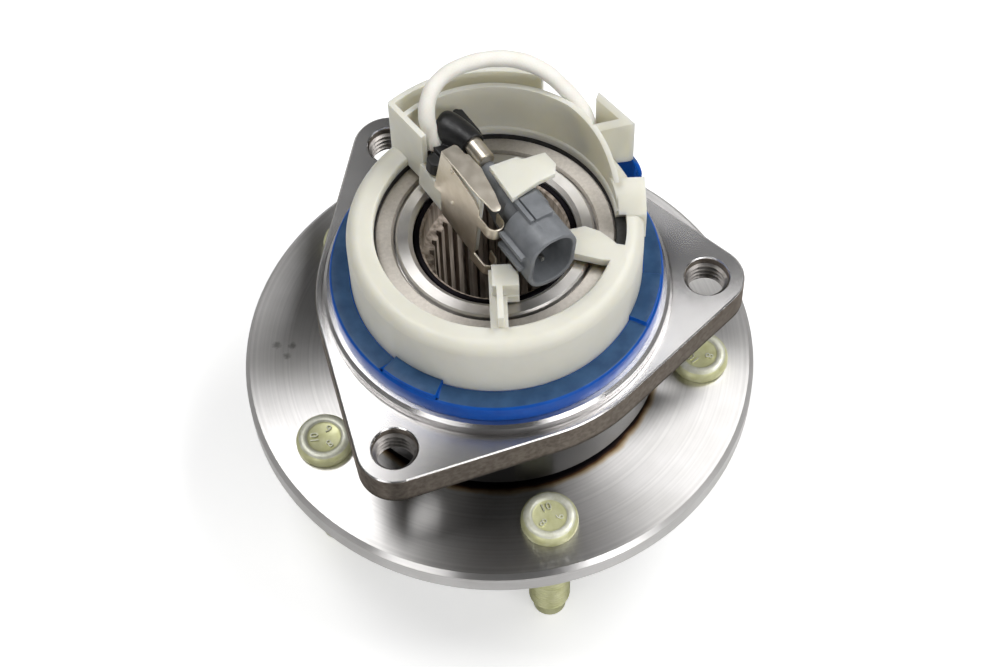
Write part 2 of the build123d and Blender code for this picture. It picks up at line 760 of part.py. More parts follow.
# White fabric-sleeved lead: straight runs joined by tangent arcs.
lead_points = [polar_point(*stop) for stop in lead_route]
lead_radii = []
for before, corner, after in zip(lead_points, lead_points[1:], lead_points[2:]):
    run_in, run_out = corner - before, after - corner
    half_turn = radians(run_in.get_angle(run_out)) / 2
    lead_radii.append(0.45 * min(run_in.length, run_out.length) / tan(half_turn))
print("lead bend radii", [round(radius, 1) for radius in lead_radii])
with BuildPart() as signal_lead:
    with BuildLine() as lead_path:
        FilletPolyline(*lead_points, radius=lead_radii)
    with BuildSketch(Plane(origin=lead_path.wire() @ 0, z_dir=lead_path.wire() % 0)):
        Circle(lead_r)
    sweep(path=lead_path.wire())
lead_length = lead_path.wire().length
print("lead length", lead_length, "volume ratio", signal_lead.part.volume / (pi * lead_r**2 * lead_length))
write(signal_lead.part, "signal_lead")

# Rubber boot: a bent barrel with a blunt end, a collar on the crimp sleeve, a side wing and
# a lower lobe that takes the lead.


def boot_section(u, v, w, lean_deg):
    """Plane across the boot's barrel, leaning sideways from the connector's own line."""
    lean = plug_u * cos(radians(lean_deg)) + plug_v * sin(radians(lean_deg))
    return Plane(origin=plug_origin + plug_u * u + plug_v * v + plug_w * w, z_dir=lean)


with BuildPart() as rubber_boot:
    with BuildSketch(boot_section(-51.7, -2.3, 3.1, 31.0)):
        Circle(3.2)
    with BuildSketch(boot_section(-51.1, -1.9, 3.2, 31.0)):
        Circle(4.0)
    with BuildSketch(boot_section(-47.2, -0.2, 3.7, 22.0)):
        Circle(4.2)
    with BuildSketch(boot_section(-43.6, 0.7, 4.2, 9.0)):
        Circle(3.8)
    with BuildSketch(boot_section(sleeve_start_u, sleeve_v, sleeve_w, 0.0)):
        Circle(3.4)
    loft()
    # collar on the sleeve
    with BuildSketch(boot_section(sleeve_start_u, sleeve_v, sleeve_w, 0.0)):
        Circle(3.4)
        Circle(sleeve_r, mode=Mode.SUBTRACT)
    extrude(amount=1.2)
    # wing along the far side
    with BuildSketch(plug_plane(w=0.4)):
        with BuildLine():
            Polyline(
                (-53.3, 3.4), (-53.3, 4.2), (-52.3, 5.7), (-43.9, 5.8), (-41.4, 5.3), (-41.6, 3.0),
                (-47.0, 1.6), (-50.6, 1.2), close=True,
            )
        make_face()
    extrude(amount=3.8)
    # lower body under the end of the lead, and the lobe beside it
    with BuildSketch(plug_plane(w=-4.4)):
        with Locations((-44.8, -3.8)):
            RectangleRounded(7.6, 6.2, 1.6)
    extrude(amount=6.0)
    with BuildSketch(plug_plane(w=-3.7)):
        with Locations((-43.5, -7.7)):
            RectangleRounded(4.6, 5.0, 1.8)
    extrude(amount=4.2)
    # the end of the lead nestles into the barrel
    with BuildSketch(Plane(origin=lead_points[-1], z_dir=lead_points[-2] - lead_points[-1])):
        Circle(lead_r + 0.1)
    extrude(amount=9.0, mode=Mode.SUBTRACT)
write(rubber_boot.part, "rubber_boot")

# Nickel-plated spring clip: side plate, top leaf and two curled hooks, one strip of metal.
clip_v = -10.7
clip_t = 0.5
with BuildPart() as spring_clip:
    with BuildSketch(plug_side_plane(clip_v)):
        with BuildLine():
            Polyline(
                (-37.9, 10.2), (-33.0, 10.2), (-32.6, 9.3), (-21.6, 7.4), (-19.4, 6.2), (-19.4, -14.9),
                (-20.9, -14.9), (-20.9, -12.2), (-35.3, -11.4), (-36.2, -4.4), (-39.6, -4.9), close=True,
            )
        make_face()
    extrude(amount=-clip_t)
    with BuildSketch(plug_plane(w=10.2)):
        with BuildLine():
            leaf = Polyline(
                (-15.6, -10.0), (-21.0, -10.5), (-28.8, -10.6), (-37.9, clip_v), (-38.2, -6.5), (-37.5, -5.9),
                (-34.3, -5.7), (-33.4, -4.9), (-27.8, -4.6), (-26.3, -5.0), (-19.1, -6.2), (-15.6, -7.2),
            )
            ThreePointArc(leaf @ 1, (-14.0, -8.7), leaf @ 0)
        make_face()
    extrude(amount=clip_t)
    for hook_low, hook_high, hook_r in ((0.0, 3.6, 2.35), (-14.9, -11.3, 2.0)):
        with BuildSketch(plug_plane(w=hook_low)):
            with BuildLine() as strip:
                run_in = Line((-19.6, clip_v + clip_t / 2), (-15.6, clip_v + clip_t / 2))
                curl = JernArc(run_in @ 1, (1, 0), hook_r, 180)
                Line(curl @ 1, (curl @ 1).X * Vector(1, 0) + Vector(-2.4, (curl @ 1).Y + 0.2))
            trace(line_width=clip_t)
        extrude(amount=hook_high - hook_low)
write(spring_clip.part, "spring_clip")
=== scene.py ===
import math
import bmesh
import bpy
from mathutils import Matrix, Vector


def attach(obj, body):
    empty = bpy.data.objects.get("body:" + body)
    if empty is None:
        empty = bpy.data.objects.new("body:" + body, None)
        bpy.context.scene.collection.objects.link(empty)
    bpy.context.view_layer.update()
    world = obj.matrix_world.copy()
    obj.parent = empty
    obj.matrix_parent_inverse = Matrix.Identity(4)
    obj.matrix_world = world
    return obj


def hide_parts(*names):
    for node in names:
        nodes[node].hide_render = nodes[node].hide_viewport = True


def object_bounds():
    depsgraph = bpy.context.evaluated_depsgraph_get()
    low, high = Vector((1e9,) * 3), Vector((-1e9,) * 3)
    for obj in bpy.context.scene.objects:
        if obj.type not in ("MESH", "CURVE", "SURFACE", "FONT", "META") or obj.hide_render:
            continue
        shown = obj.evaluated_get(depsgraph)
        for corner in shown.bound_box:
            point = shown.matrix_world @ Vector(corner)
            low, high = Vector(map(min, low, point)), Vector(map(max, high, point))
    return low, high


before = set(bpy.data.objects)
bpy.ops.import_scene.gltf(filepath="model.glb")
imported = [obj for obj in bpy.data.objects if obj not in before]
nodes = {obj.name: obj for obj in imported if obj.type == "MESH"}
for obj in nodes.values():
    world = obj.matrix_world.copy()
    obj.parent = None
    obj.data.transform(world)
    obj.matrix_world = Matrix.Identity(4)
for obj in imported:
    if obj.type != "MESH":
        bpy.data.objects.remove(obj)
cad_low, cad_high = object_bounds()
scene = bpy.context.scene
bpy.ops.object.select_all(action="DESELECT")

# ==== Camera ==================================================================
# A long lens in front of the hub, looking down on its sensor end.
MM = 0.001
camera_place = Vector((-3.63, -340.58, 549.59)) * MM
camera_heading = math.radians(-0.68)
camera_tilt = math.radians(90 - 57.42)
camera_roll = math.radians(-1.953)
bpy.ops.object.camera_add()
camera = bpy.context.object
camera.name = "camera"
camera.data.sensor_width = 36
camera.data.lens = 80.09
camera.matrix_world = (
    Matrix.Translation(camera_place)
    @ Matrix.Rotation(camera_heading, 4, "Z")
    @ Matrix.Rotation(camera_tilt, 4, "X")
    @ Matrix.Rotation(camera_roll, 4, "Z")
)
scene.camera = camera

# ==== Studio ==================================================================
# White paper under the stud tips in a dim room. Two softboxes hang high on the left and the right
# and two small ones stand low in front, so that every turned face has bright and dark fans.
scene.view_settings.view_transform = "Standard"


def linear(hex_colour):
    """sRGB hex to the linear RGBA that the shader sockets take."""
    channels = [int(hex_colour[i : i + 2], 16) / 255 for i in (0, 2, 4)]
    return tuple(c / 12.92 if c <= 0.04045 else ((c + 0.055) / 1.055) ** 2.4 for c in channels) + (1.0,)


def add_node(tree, kind, values=None, links=None, **settings):
    """Adds one node; values go to its input sockets, links come from other nodes' output sockets."""
    node = tree.nodes.new(kind)
    for name, value in settings.items():
        setattr(node, name, value)
    for socket, value in (values or {}).items():
        node.inputs[socket].default_value = value
    for socket, source in (links or {}).items():
        tree.links.new(source, node.inputs[socket])
    return node


paper_size = 6.0
bpy.ops.mesh.primitive_plane_add(size=paper_size, location=(0, 0, cad_low.z))
floor = bpy.context.object
floor.name = "studio_floor"
white_paper = bpy.data.materials.new("white_paper_sweep")
white_paper.use_nodes = True
tree = white_paper.node_tree
tree.nodes.clear()
paper = add_node(tree, "ShaderNodeBsdfDiffuse", {"Color": linear("e4e4e4")})
# seen directly, the paper brightens away from the hub, so that a low view also ends in white
paper_place = add_node(tree, "ShaderNodeTexCoord").outputs["Object"]
paper_reach = add_node(tree, "ShaderNodeVectorMath", links={0: paper_place}, operation="LENGTH")
paper_glow = add_node(
    tree, "ShaderNodeMapRange", {"From Min": 0.25, "From Max": 1.0, "To Min": 0.5, "To Max": 1.0},
    {"Value": paper_reach.outputs["Value"]},
)
glow = add_node(tree, "ShaderNodeEmission", {"Color": linear("ffffff")}, {"Strength": paper_glow.outputs[0]})
dark = add_node(tree, "ShaderNodeEmission", {"Strength": 0.0})
ray = add_node(tree, "ShaderNodeLightPath")
seen_glow = add_node(
    tree, "ShaderNodeMixShader", links={0: ray.outputs["Is Camera Ray"], 1: dark.outputs[0], 2: glow.outputs[0]}
)
lit_paper = add_node(tree, "ShaderNodeAddShader", links={0: paper.outputs[0], 1: seen_glow.outputs[0]})
add_node(tree, "ShaderNodeOutputMaterial", links={"Surface": lit_paper.outputs[0]})
floor.data.materials.append(white_paper)

# place, width and length in metres and power in watts of each lamp, which faces the origin
softboxes = {
    "softbox_left": ((-0.393, 0.224, 1.04), 0.35, 0.65, 5.3),
    "softbox_right": ((0.52, 0.148, 0.874), 0.36, 0.79, 6.3),
    "low_softbox_left": ((-0.462, -0.761, 0.304), 0.23, 0.42, 1.4),
    "low_softbox_right": ((0.463, -0.591, 0.471), 0.31, 0.42, 2.05),
}
for name, (place, width, length, power) in softboxes.items():
    bpy.ops.object.light_add(type="AREA", location=place)
    lamp = bpy.context.object
    lamp.name = name
    lamp.data.shape = "RECTANGLE"
    lamp.data.size = width
    lamp.data.size_y = length
    lamp.data.energy = power
    back = Vector(place).normalized()
    across = Vector((0, 1, 0)).cross(back).normalized()
    turn_to_hub = Matrix((across, back.cross(across), back)).transposed().to_4x4()
    lamp.matrix_world = Matrix.Translation(place) @ turn_to_hub

world = bpy.data.worlds.new("dim_studio_room")
scene.world = world
world.use_nodes = True
tree = world.node_tree
tree.nodes.clear()
room = add_node(tree, "ShaderNodeBackground", {"Color": linear("ffffff"), "Strength": 0.06})
backdrop = add_node(tree, "ShaderNodeBackground", {"Color": linear("ffffff"), "Strength": 1.0})
ray = add_node(tree, "ShaderNodeLightPath")
surroundings = add_node(
    tree, "ShaderNodeMixShader", links={0: ray.outputs["Is Camera Ray"], 1: room.outputs[0], 2: backdrop.outputs[0]}
)
add_node(tree, "ShaderNodeOutputWorld", links={"Surface": surroundings.outputs[0]})

# ==== Hub =====================================================================
# The rotating part: one steel forging with the wheel flange, the wheel pilot and the splined spindle.
# Lathe-cut bright outside; its bore keeps a grey-brown oxide, and the neck shows heat colours, with painted shade at
# the foot of the barrel.


def start_finish(name):
    """A new material, its node tree, its surface shader and the piece's own coordinates."""
    finish = bpy.data.materials.new(name)
    finish.use_nodes = True
    tree = finish.node_tree
    surface = tree.nodes["Principled BSDF"]
    place = add_node(tree, "ShaderNodeTexCoord").outputs["Object"]
    return finish, tree, surface, place


def lathe_cut(tree, place, surface, feed, depth):
    """Grooves of a tool that went round the bearing axis, with feed and depth in millimetres. Gives the
    distance from the axis, the height, the groove pattern and the bump, and turns the highlights across
    the cut. The feeds are coarser than a real lathe's, so that the rings show."""
    axes = add_node(tree, "ShaderNodeSeparateXYZ", links={0: place})
    flat = add_node(tree, "ShaderNodeCombineXYZ", links={"X": axes.outputs["X"], "Y": axes.outputs["Y"]})
    radius = add_node(tree, "ShaderNodeVectorMath", links={0: flat.outputs[0]}, operation="LENGTH").outputs["Value"]
    # the grooves run on over flat faces and up cylinders, so their count climbs with both
    path = add_node(tree, "ShaderNodeMath", {1: 1.37}, {0: axes.outputs["Z"], 2: radius}, operation="MULTIPLY_ADD")
    groove = add_node(
        tree, "ShaderNodeTexNoise", {"Scale": 1 / (feed * MM), "Detail": 3.0, "Roughness": 0.6},
        {"W": path.outputs[0]}, noise_dimensions="1D",
    ).outputs["Fac"]
    bump = add_node(tree, "ShaderNodeBump", {"Strength": 1.0, "Distance": depth * MM}, {"Height": groove})
    minus_y = add_node(tree, "ShaderNodeMath", {1: -1.0}, {0: axes.outputs["Y"]}, operation="MULTIPLY")
    round_axis = add_node(tree, "ShaderNodeCombineXYZ", links={"X": minus_y.outputs[0], "Y": axes.outputs["X"]})
    cut_way = add_node(
        tree, "ShaderNodeVectorTransform", links={0: round_axis.outputs[0]},
        vector_type="VECTOR", convert_from="OBJECT", convert_to="WORLD",
    )
    tree.links.new(cut_way.outputs[0], surface.inputs["Tangent"])
    surface.inputs["Anisotropic Rotation"].default_value = 0.25
    surface.inputs["Metallic"].default_value = 1.0
    return radius, axes.outputs["Z"], groove, bump.outputs[0]


def mottled(tree, place, patch, dark, light, low=0.35, high=0.65):
    """A colour that drifts between two tones, in patches of that many millimetres."""
    cloud = add_node(tree, "ShaderNodeTexNoise", {"Scale": 1 / (patch * MM), "Detail": 5.0}, {"Vector": place})
    tint = add_node(tree, "ShaderNodeValToRGB", links={0: cloud.outputs["Fac"]})
    tint.color_ramp.elements[0].position = low
    tint.color_ramp.elements[0].color = linear(dark)
    tint.color_ramp.elements[1].position = high
    tint.color_ramp.elements[1].color = linear(light)
    return tint.outputs[0]


def worn_gloss(tree, place, surface, patch, smooth, rough):
    """Roughness that drifts between two values, in patches of that many millimetres."""
    cloud = add_node(tree, "ShaderNodeTexNoise", {"Scale": 1 / (patch * MM), "Detail": 6.0}, {"Vector": place})
    gloss = add_node(
        tree, "ShaderNodeMapRange", {"From Min": 0.3, "From Max": 0.7, "To Min": smooth, "To Max": rough},
        {"Value": cloud.outputs["Fac"]},
    )
    tree.links.new(gloss.outputs[0], surface.inputs["Roughness"])


def fine_grain(tree, place, surface, grain, depth):
    """Bump of an all-over grain, as a mould or a plating bath leaves it. Both in millimetres."""
    pits = add_node(tree, "ShaderNodeTexNoise", {"Scale": 1 / (grain * MM), "Detail": 4.0}, {"Vector": place})
    bump = add_node(
        tree, "ShaderNodeBump", {"Strength": 1.0, "Distance": depth * MM}, {"Height": pits.outputs["Fac"]}
    )
    tree.links.new(bump.outputs[0], surface.inputs["Normal"])


def finish_node(name, finish):
    """Gives a carried-over solid its material."""
    nodes[name].data.materials.clear()
    nodes[name].data.materials.append(finish)


bore_oxide_r = 20.2
neck_shade_and_heat_r = (44.6, 47.6)
hub_steel, tree, surface, place = start_finish("lathe_cut_forged_steel")
# Bright and cool where it was cut; the light streaks across the fine rings that the tool left.
surface.inputs["Anisotropic"].default_value = 0.95
radius, _, groove, ring_bump = lathe_cut(tree, place, surface, feed=0.9, depth=0.005)
cut_tint = mottled(tree, place, 14.0, "d2d0ce", "dddbda")
ring_tint = add_node(
    tree, "ShaderNodeMapRange", {"From Min": 0.3, "From Max": 0.7, "To Min": 0.93, "To Max": 1.05}, {"Value": groove}
)
# sockets 6 and 7 of a colour mix are its colours A and B
cut_colour = add_node(
    tree, "ShaderNodeMix", {0: 1.0}, {6: cut_tint, 7: ring_tint.outputs[0]},
    data_type="RGBA", blend_type="MULTIPLY",
)
# brown and straw heat colours round the induction-hardened neck, with a wavy edge; inside them, at the foot of the
# barrel, a near-black band of painted shade
band_wave = 2.4
band_from, band_to = (r + band_wave / 2 for r in neck_shade_and_heat_r)
wave_noise = add_node(tree, "ShaderNodeTexNoise", {"Scale": 1 / (9 * MM), "Detail": 3.0}, {"Vector": place})
band_edge = add_node(
    tree, "ShaderNodeMath", {1: band_wave * MM}, {0: wave_noise.outputs["Fac"], 2: radius}, operation="MULTIPLY_ADD"
)
shade_and_heat = add_node(
    tree, "ShaderNodeMapRange", {"From Min": band_from * MM, "From Max": band_to * MM},
    {"Value": band_edge.outputs[0]},
)
painted_shade_and_heat_tint = add_node(tree, "ShaderNodeValToRGB", links={0: shade_and_heat.outputs[0]})
# the near-black first stop is painted shade at the foot of the barrel, not a heat colour
painted_shade_and_heat_tint.color_ramp.elements[0].position = 0.0
painted_shade_and_heat_tint.color_ramp.elements[0].color = linear("1c1a1e")
painted_shade_and_heat_tint.color_ramp.elements[1].position = 1.0
painted_shade_and_heat_tint.color_ramp.elements[1].color = linear("ffffff")
for stop, tint in ((0.25, "3a2c28"), (0.45, "8a6a4c"), (0.7, "dcc9a8")):
    painted_shade_and_heat_tint.color_ramp.elements.new(stop).color = linear(tint)
flange_colour = add_node(
    tree, "ShaderNodeMix", {0: 1.0}, {6: cut_colour.outputs[2], 7: painted_shade_and_heat_tint.outputs[0]},
    data_type="RGBA", blend_type="MULTIPLY",
)
# grey-brown oxide in the bore, its streaks drawn out along the spline
in_bore = add_node(tree, "ShaderNodeMath", {1: bore_oxide_r * MM}, {0: radius}, operation="LESS_THAN")
drawn_out = add_node(tree, "ShaderNodeVectorMath", {1: (1.0, 1.0, 0.08)}, {0: place}, operation="MULTIPLY")
oxide_tint = mottled(tree, drawn_out.outputs[0], 1.2, "857a70", "c0b4a8")
hub_colour = add_node(
    tree, "ShaderNodeMix", links={0: in_bore.outputs[0], 6: flange_colour.outputs[2], 7: oxide_tint},
    data_type="RGBA",
)
# a light scuff near the rim, where units touched in the crate
flange_top_z = 8
scuff_place = (13.0 * MM, -67.0 * MM, flange_top_z * MM)
scuff_from = add_node(tree, "ShaderNodeVectorMath", {1: scuff_place}, {0: place}, operation="DISTANCE")
scuff_reach = add_node(
    tree, "ShaderNodeMapRange", {"From Min": 2.0 * MM, "From Max": 9.0 * MM, "To Min": 1.0, "To Max": 0.0},
    {"Value": scuff_from.outputs["Value"]},
)
scratches = add_node(
    tree, "ShaderNodeTexNoise", {"Scale": 1 / (1.5 * MM), "Detail": 4.0, "Roughness": 0.7}, {"Vector": place}
)
scratches = add_node(
    tree, "ShaderNodeMapRange", {"From Min": 0.52, "From Max": 0.72}, {"Value": scratches.outputs["Fac"]}
)
scuff = add_node(
    tree, "ShaderNodeMath", links={0: scuff_reach.outputs[0], 1: scratches.outputs[0]}, operation="MULTIPLY"
)
# three ragged rust specks: x, y and radius in millimetres on top of the flange
rust_specks = ((-61.0, 1.0, 1.3), (-64.0, 4.9, 1.5), (-59.5, 4.4, 1.4))
rag = 1.6
rag_noise = add_node(tree, "ShaderNodeTexNoise", {"Scale": 1 / (0.9 * MM), "Detail": 3.0}, {"Vector": place})
ragged_place = add_node(
    tree, "ShaderNodeVectorMath", {1: (rag * MM, rag * MM, 0)}, {0: rag_noise.outputs["Color"], 2: place},
    operation="MULTIPLY_ADD",
)
rust = None
for speck_x, speck_y, speck_r in rust_specks:
    centre = ((speck_x + rag / 2) * MM, (speck_y + rag / 2) * MM, flange_top_z * MM)
    gap = add_node(tree, "ShaderNodeVectorMath", {1: centre}, {0: ragged_place.outputs[0]}, operation="DISTANCE")
    speck = add_node(
        tree, "ShaderNodeMapRange",
        {"From Min": speck_r * 0.3 * MM, "From Max": speck_r * MM, "To Min": 1.0, "To Max": 0.0},
        {"Value": gap.outputs["Value"]},
    )
    if rust is None:
        rust = speck
    else:
        rust = add_node(tree, "ShaderNodeMath", links={0: rust.outputs[0], 1: speck.outputs[0]}, operation="MAXIMUM")
faint_rust = add_node(tree, "ShaderNodeMath", {1: 0.5}, {0: rust.outputs[0]}, operation="MULTIPLY")
specked = add_node(
    tree, "ShaderNodeMix", {7: linear("4a423c")}, {0: faint_rust.outputs[0], 6: hub_colour.outputs[2]},
    data_type="RGBA",
)
tree.links.new(specked.outputs[2], surface.inputs["Base Color"])
tree.links.new(ring_bump, surface.inputs["Normal"])
scuffed_gloss = add_node(tree, "ShaderNodeMapRange", {"To Min": 0.33, "To Max": 0.62}, {"Value": scuff.outputs[0]})
# the oxide is duller than the cut faces
bore_gloss = add_node(
    tree, "ShaderNodeMath", {1: 0.2}, {0: in_bore.outputs[0], 2: scuffed_gloss.outputs[0]}, operation="MULTIPLY_ADD"
)
tree.links.new(bore_gloss.outputs[0], surface.inputs["Roughness"])
finish_node("hub_flange", hub_steel)

# ==== Wheel studs =============================================================
# Five cold-headed M12 x 1.5 studs, pressed through the flange from the sensor's side; the neck that
# grips the flange is hidden in it and left plain. Zinc plated, with a yellow-green passivation that
# wears to white on the rim of the head.
stud_circle_r = 57.5
stud_start_deg = -78.4
stud_count = 5
stud_pitch = 1.5
stud_root_r = 5.05
stud_crest_r = 5.95
head_top_z = 12.0
hollow_z = head_top_z - 0.62


def close_profile(points):
    """Edge loop through (distance from the axis, height) points in millimetres, left selected in edit mode."""
    bpy.ops.mesh.primitive_plane_add()
    bpy.ops.object.mode_set(mode="EDIT")
    bpy.ops.mesh.delete(type="VERT")
    sheet = bmesh.from_edit_mesh(bpy.context.object.data)
    corners = [sheet.verts.new((r * MM, 0, z * MM)) for r, z in points]
    for here, there in zip(corners, corners[1:]):
        sheet.edges.new((here, there))
    if points[0][0] > 0:
        sheet.edges.new((corners[-1], corners[0]))
    bmesh.update_edit_mesh(bpy.context.object.data)
    bpy.ops.mesh.select_all(action="SELECT")


def turned(name, points, steps):
    """Solid of revolution about Z. A profile that starts on the axis also ends there."""
    close_profile(points)
    bpy.ops.mesh.spin(steps=steps, angle=math.tau, center=(0, 0, 0), axis=(0, 0, 1))
    bpy.ops.mesh.select_all(action="SELECT")
    bpy.ops.mesh.remove_doubles(threshold=0.001 * MM)
    bpy.ops.mesh.normals_make_consistent(inside=False)
    bpy.ops.object.mode_set(mode="OBJECT")
    bpy.context.object.name = name
    return bpy.context.object


def thread_ridge(name, points, pitch, turns, steps):
    """Helical ridge: a closed tooth section that climbs by the pitch in each turn about Z."""
    close_profile(points)
    bpy.ops.object.mode_set(mode="OBJECT")
    ridge = bpy.context.object
    ridge.name = name
    coil = ridge.modifiers.new("thread", "SCREW")
    coil.axis = "Z"
    coil.screw_offset = pitch * MM
    coil.iterations = turns
    coil.steps = steps
    coil.render_steps = steps
    bpy.ops.object.modifier_apply(modifier="thread")
    bpy.ops.object.mode_set(mode="EDIT")
    bpy.ops.mesh.select_all(action="SELECT")
    bpy.ops.mesh.remove_doubles(threshold=0.001 * MM)
    bpy.ops.mesh.fill_holes(sides=0)
    bpy.ops.mesh.select_all(action="SELECT")
    bpy.ops.mesh.normals_make_consistent(inside=False)
    bpy.ops.object.mode_set(mode="OBJECT")
    return ridge


def join_pieces(main, others):
    """One object out of several closed shells."""
    bpy.ops.object.select_all(action="DESELECT")
    for other in others:
        other.select_set(True)
    main.select_set(True)
    bpy.context.view_layer.objects.active = main
    bpy.ops.object.join()
    return main


def set_down(piece, matrix):
    """Moves the piece's mesh to its place and leaves its object at the origin."""
    piece.data.transform(matrix)
    piece.matrix_world = Matrix.Identity(4)


def smooth_shade(piece, edge_deg):
    """Smooth shading that keeps every edge sharper than this."""
    bpy.ops.object.select_all(action="DESELECT")
    piece.select_set(True)
    bpy.context.view_layer.objects.active = piece
    bpy.ops.object.shade_smooth_by_angle(angle=math.radians(edge_deg))


zinc, tree, surface, place = start_finish("yellow_passivated_zinc_plate")
# A soft satin metal skin: green-yellow, and pale where the rim of the head was rubbed.
surface.inputs["Metallic"].default_value = 0.35
worn_gloss(tree, place, surface, 1.5, 0.38, 0.5)
fine_grain(tree, place, surface, 0.5, 0.02)
plate_tint = mottled(tree, place, 2.4, "d2d29c", "e0e0b4")
rubbed_tint = mottled(tree, place, 1.6, "d8d8c2", "e9e9dc")
height = add_node(tree, "ShaderNodeSeparateXYZ", links={0: place}).outputs["Z"]
near_top = add_node(
    tree, "ShaderNodeMapRange", {"From Min": (head_top_z - 2.2) * MM, "From Max": (head_top_z - 0.15) * MM},
    {"Value": height},
)
above_hollow = add_node(tree, "ShaderNodeMath", {1: (head_top_z - 0.45) * MM}, {0: height}, operation="GREATER_THAN")
rubbed_rim = add_node(
    tree, "ShaderNodeMath", links={0: near_top.outputs[0], 1: above_hollow.outputs[0]}, operation="MULTIPLY"
)
zinc_colour = add_node(
    tree, "ShaderNodeMix", links={0: rubbed_rim.outputs[0], 6: plate_tint, 7: rubbed_tint}, data_type="RGBA"
)
tree.links.new(zinc_colour.outputs[2], surface.inputs["Base Color"])

stud = turned(
    "wheel_stud_1",
    (
        (0, hollow_z), (4.35, hollow_z), (4.75, head_top_z - 0.5), (5.1, head_top_z - 0.12),
        (5.4, head_top_z), (6.3, head_top_z), (7.05, head_top_z - 0.3), (7.65, head_top_z - 0.95),
        (7.95, head_top_z - 1.9), (8.0, 8.6), (7.8, 8.15), (7.5, 8.02), (6.33, 8.02), (6.33, 0.4),
        (stud_crest_r, 0.0), (stud_crest_r, -2.6), (stud_root_r, -3.4), (stud_root_r, -36.4), (4.75, -37.7),
        (4.75, -41.0), (4.4, -41.7), (3.9, -42.0), (0, -42.0),
    ),
    steps=48,
)
ridge_foot_r = stud_root_r - 0.1
thread = thread_ridge(
    "stud_thread", ((ridge_foot_r, -36.4), (stud_crest_r, -35.75), (stud_crest_r, -35.55), (ridge_foot_r, -34.9)),
    stud_pitch, turns=21, steps=32,
)
# shallow numerals in the hollow of the head, as cold heading leaves them: a strength grade
mark_circle_r = 2.6
mark_size = 3.4
mark_height = 0.42
numerals = []
for mark, mark_turn_deg in (("10", 75), ("9", -45), ("8", 195)):
    bpy.ops.object.text_add()
    numeral = bpy.context.object
    numeral.data.body = mark
    numeral.data.size = mark_size * MM
    numeral.data.extrude = mark_height * MM
    numeral.data.align_x = "CENTER"
    numeral.data.align_y = "CENTER"
    numeral.data.resolution_u = 2
    bpy.ops.object.convert(target="MESH")
    numeral = bpy.context.object
    mark_turn = Matrix.Rotation(math.radians(mark_turn_deg - 90), 4, "Z")
    set_down(numeral, mark_turn @ Matrix.Translation((0, mark_circle_r * MM, hollow_z * MM)))
    numerals.append(numeral)
stud = join_pieces(stud, [thread] + numerals)
smooth_shade(stud, 32)
stud.data.materials.append(zinc)
stud_shape = stud.data.copy()
for index in range(stud_count):
    copy = stud
    if index:
        copy = bpy.data.objects.new(f"wheel_stud_{index + 1}", stud_shape.copy())
        scene.collection.objects.link(copy)
    azimuth = math.radians(stud_start_deg + index * 360 / stud_count)
    centre = Vector((math.cos(azimuth), math.sin(azimuth), 0)) * stud_circle_r * MM
    # each was pressed in with its marks turned another way
    marks_turn = index * 1.9 + 0.6
    set_down(copy, Matrix.Translation(centre) @ Matrix.Rotation(marks_turn, 4, "Z"))
    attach(copy, "hub")
    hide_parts("wheel_studs")

# ==== Outer ring ==============================================================
# The fixed part: a steel forging with both outer raceways and the three-eared knuckle flange.
# The flange top and the pilot are cut bright; the sides of the ears keep the brown-grey forging skin.
mount_face_z = 41.2
mount_circle_r = 57.85
mount_hole_r = 6.0
ear_count = 3
skin_in_r = 49.0
ring_steel, tree, surface, place = start_finish("forged_steel_with_cut_faces")
# Fine tool arcs round the bearing axis on top, dull scaly skin where the die shaped it.
surface.inputs["Anisotropic"].default_value = 0.9
radius, height, _, ring_bump = lathe_cut(tree, place, surface, feed=0.9, depth=0.004)
below_face = add_node(tree, "ShaderNodeMath", {1: (mount_face_z - 0.35) * MM}, {0: height}, operation="LESS_THAN")
outside_pilot = add_node(tree, "ShaderNodeMath", {1: skin_in_r * MM}, {0: radius}, operation="GREATER_THAN")
skin = add_node(
    tree, "ShaderNodeMath", links={0: below_face.outputs[0], 1: outside_pilot.outputs[0]}, operation="MULTIPLY"
)
cut_tint = mottled(tree, place, 9.0, "d0cecd", "dddbda")
skin_tint = mottled(tree, place, 1.4, "665e56", "7c746b")
ring_colour = add_node(
    tree, "ShaderNodeMix", links={0: skin.outputs[0], 6: cut_tint, 7: skin_tint}, data_type="RGBA"
)
# the turned barrel under the ears is darkened in its colour: painted shade and painted dark reflection under the
# ears
painted_shade_under_ears = add_node(
    tree, "ShaderNodeMapRange", {"From Min": 31.0 * MM, "From Max": 33.0 * MM, "To Min": 0.12}, {"Value": height}
)
ring_colour_with_painted_shade = add_node(
    tree, "ShaderNodeMix", {0: 1.0}, {6: ring_colour.outputs[2], 7: painted_shade_under_ears.outputs[0]},
    data_type="RGBA", blend_type="MULTIPLY",
)
tree.links.new(ring_colour_with_painted_shade.outputs[2], surface.inputs["Base Color"])
scale_pits = add_node(tree, "ShaderNodeTexNoise", {"Scale": 1 / (1.1 * MM), "Detail": 4.0}, {"Vector": place})
scale_height = add_node(
    tree, "ShaderNodeMath", links={0: scale_pits.outputs["Fac"], 1: skin.outputs[0]}, operation="MULTIPLY"
)
scale_bump = add_node(
    tree, "ShaderNodeBump", {"Strength": 1.0, "Distance": 0.06 * MM},
    {"Height": scale_height.outputs[0], "Normal": ring_bump},
)
tree.links.new(scale_bump.outputs[0], surface.inputs["Normal"])
skin_rough = add_node(tree, "ShaderNodeMapRange", {"To Min": 0.27, "To Max": 0.6}, {"Value": skin.outputs[0]})
tree.links.new(skin_rough.outputs[0], surface.inputs["Roughness"])
finish_node("outer_ring", ring_steel)

# ---- knuckle threads: M12 x 1.75, tapped through the ears -----------------------
tapped_steel, tree, surface, place = start_finish("tapped_steel")
